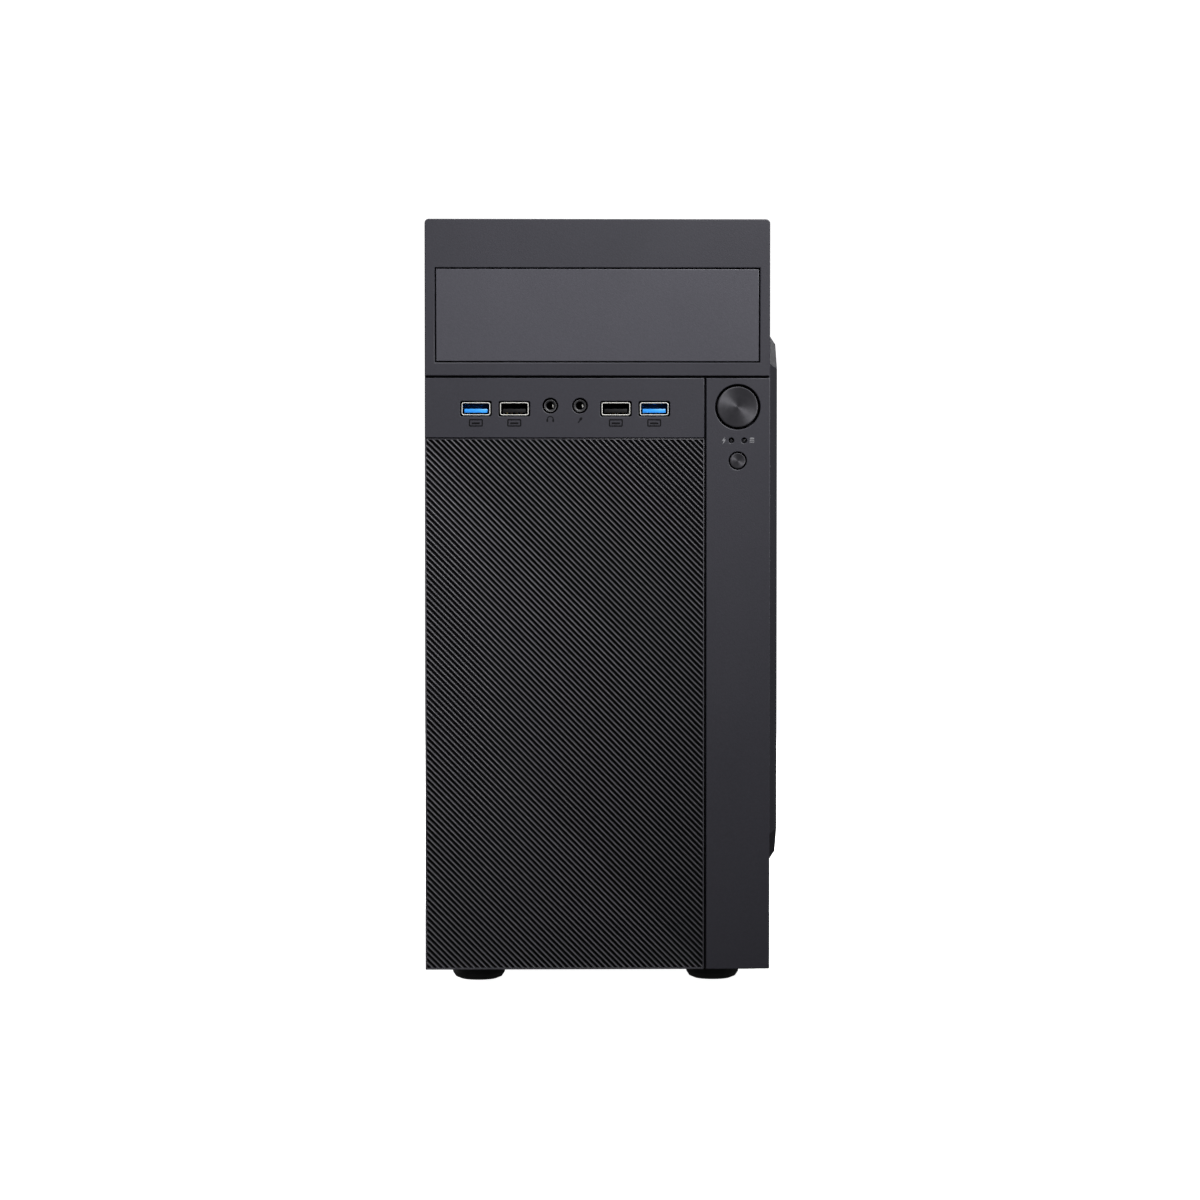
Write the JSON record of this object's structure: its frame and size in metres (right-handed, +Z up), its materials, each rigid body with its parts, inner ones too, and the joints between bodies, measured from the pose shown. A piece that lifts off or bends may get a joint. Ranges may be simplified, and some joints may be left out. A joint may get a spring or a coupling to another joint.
{
  "type": "desktop computer tower",
  "caption": "Slim charcoal desktop computer tower with a ribbed front, a blank drive bay, a round power button and front sockets.",
  "frame": {"origin": "middle of the bounding box on the floor plane under the feet", "axes": "+Z up, the front faces -Y, +X to the right of someone who faces the front"},
  "size_m": [0.1656, 0.345, 0.354],
  "materials": {
    "moulding": "fine matt texture, charcoal",
    "rib_moulding": "satin charcoal ribs",
    "cover_moulding": "fine matt texture, slightly lighter charcoal",
    "button_metal": "turned and dyed black, fine concentric grooves",
    "clear_plastic": "clear moulded light pipe",
    "circuit_board": "solder-masked fibreglass",
    "plated_steel": "bright nickel plate",
    "blue_plastic": "moulded blue insulator",
    "black_plastic": "moulded black",
    "galvanised_steel": "zinc-coated sheet",
    "black_paint": "fine black powder coat",
    "grey_paint": "dark grey coat",
    "foot_rubber": "matt black",
    "brass": "turned brass",
    "aluminium": "extruded and sawn",
    "ivory_plastic": "moulded nylon",
    "cast_aluminium": "cast and lightly blasted alloy",
    "cable_sleeve": "braided sleeve",
    "red_cable": "flexible jacket"
  },
  "bodies": {
    "chassis": {"front_bezel": "moulding", "top_fascia": "moulding", "io_panel": "moulding", "rib_panel": "rib_moulding", "control_strip": "moulding", "light_pipes": "clear_plastic", "switch_board": "circuit_board", "front_io_board": "circuit_board", "usb_ports": "plated_steel", "usb_tongues_blue": "blue_plastic", "usb_tongues_black": "black_plastic", "audio_jacks": "black_plastic", "chassis_floor": "galvanised_steel", "chassis_top": "black_paint", "chassis_front": "galvanised_steel", "chassis_rear": "galvanised_steel", "motherboard_tray": "galvanised_steel", "drive_cage": "galvanised_steel", "disk_bracket": "galvanised_steel", "feet": "foot_rubber", "foot_screws": "plated_steel", "slot_covers": "galvanised_steel", "rear_screws": "plated_steel", "psu_case": "grey_paint", "psu_cover": "grey_paint", "psu_fan_frame": "black_plastic", "mains_inlet": "black_plastic", "rocker_frame": "black_plastic", "rear_fan_frame": "black_plastic", "io_shield": "plated_steel", "motherboard": "circuit_board", "standoffs": "brass", "board_screws": "plated_steel", "rear_ports": "plated_steel", "processor": "plated_steel", "heatsink": "aluminium", "cpu_fan_frame": "black_plastic", "memory_slots": "blue_plastic", "memory_module": "circuit_board", "expansion_slots": "black_plastic", "board_headers": "ivory_plastic", "capacitors": "aluminium", "chipset_heatsink": "aluminium", "hard_disk": "cast_aluminium", "disk_circuit_board": "circuit_board", "main_power_cable": "cable_sleeve", "disk_power_cable": "cable_sleeve", "disk_data_cable": "red_cable", "front_panel_cable": "cable_sleeve"},
    "bay_cover": {"bay_cover": "cover_moulding"},
    "power_button": {"power_button": "button_metal"},
    "reset_button": {"reset_button": "button_metal"},
    "left_panel": {"side_panel_left": "black_paint", "thumbscrews_left": "plated_steel"},
    "right_panel": {"side_panel_right": "black_paint", "thumbscrews_right": "plated_steel"},
    "rear_fan_rotor": {"rear_fan_rotor": "black_plastic"},
    "cpu_fan_rotor": {"cpu_fan_rotor": "black_plastic"},
    "psu_fan_rotor": {"psu_fan_rotor": "black_plastic"},
    "rocker_switch": {"rocker_switch": "black_plastic"}
  },
  "joints": [
    {"name": "power_press", "type": "slide", "parent": "chassis", "child": "power_button", "axis": [0, 1, 0], "range_m": [0, 0.0015], "stiffness_N_per_m": 1200, "springref_m": -0.0005},
    {"name": "reset_press", "type": "slide", "parent": "chassis", "child": "reset_button", "axis": [0, 1, 0], "range_m": [0, 0.0015], "stiffness_N_per_m": 900, "springref_m": -0.0005},
    {"name": "bay_cover_pull", "type": "slide", "parent": "chassis", "child": "bay_cover", "axis": [0, -1, 0], "range_m": [0, 0.06]},
    {"name": "left_panel_slide", "type": "slide", "parent": "chassis", "child": "left_panel", "axis": [0, 1, 0], "range_m": [0, 0.32]},
    {"name": "right_panel_slide", "type": "slide", "parent": "chassis", "child": "right_panel", "axis": [0, 1, 0], "range_m": [0, 0.32]},
    {"name": "rear_fan_spin", "type": "hinge", "parent": "chassis", "child": "rear_fan_rotor", "pos_m": [-0.0295, 0.15155, 0.211], "axis": [0, 1, 0], "continuous": true},
    {"name": "cpu_fan_spin", "type": "hinge", "parent": "chassis", "child": "cpu_fan_rotor", "pos_m": [0.0103, 0.09005, 0.189], "axis": [1, 0, 0], "continuous": true},
    {"name": "psu_fan_spin", "type": "hinge", "parent": "chassis", "child": "psu_fan_rotor", "pos_m": [-0.0035, 0.09405, 0.2779], "axis": [0, 0, 1], "continuous": true},
    {"name": "mains_rocker", "type": "hinge", "parent": "chassis", "child": "rocker_switch", "pos_m": [-0.0215, 0.16105, 0.3126], "axis": [1, 0, 0], "range_deg": [0, 18]}
  ]
}
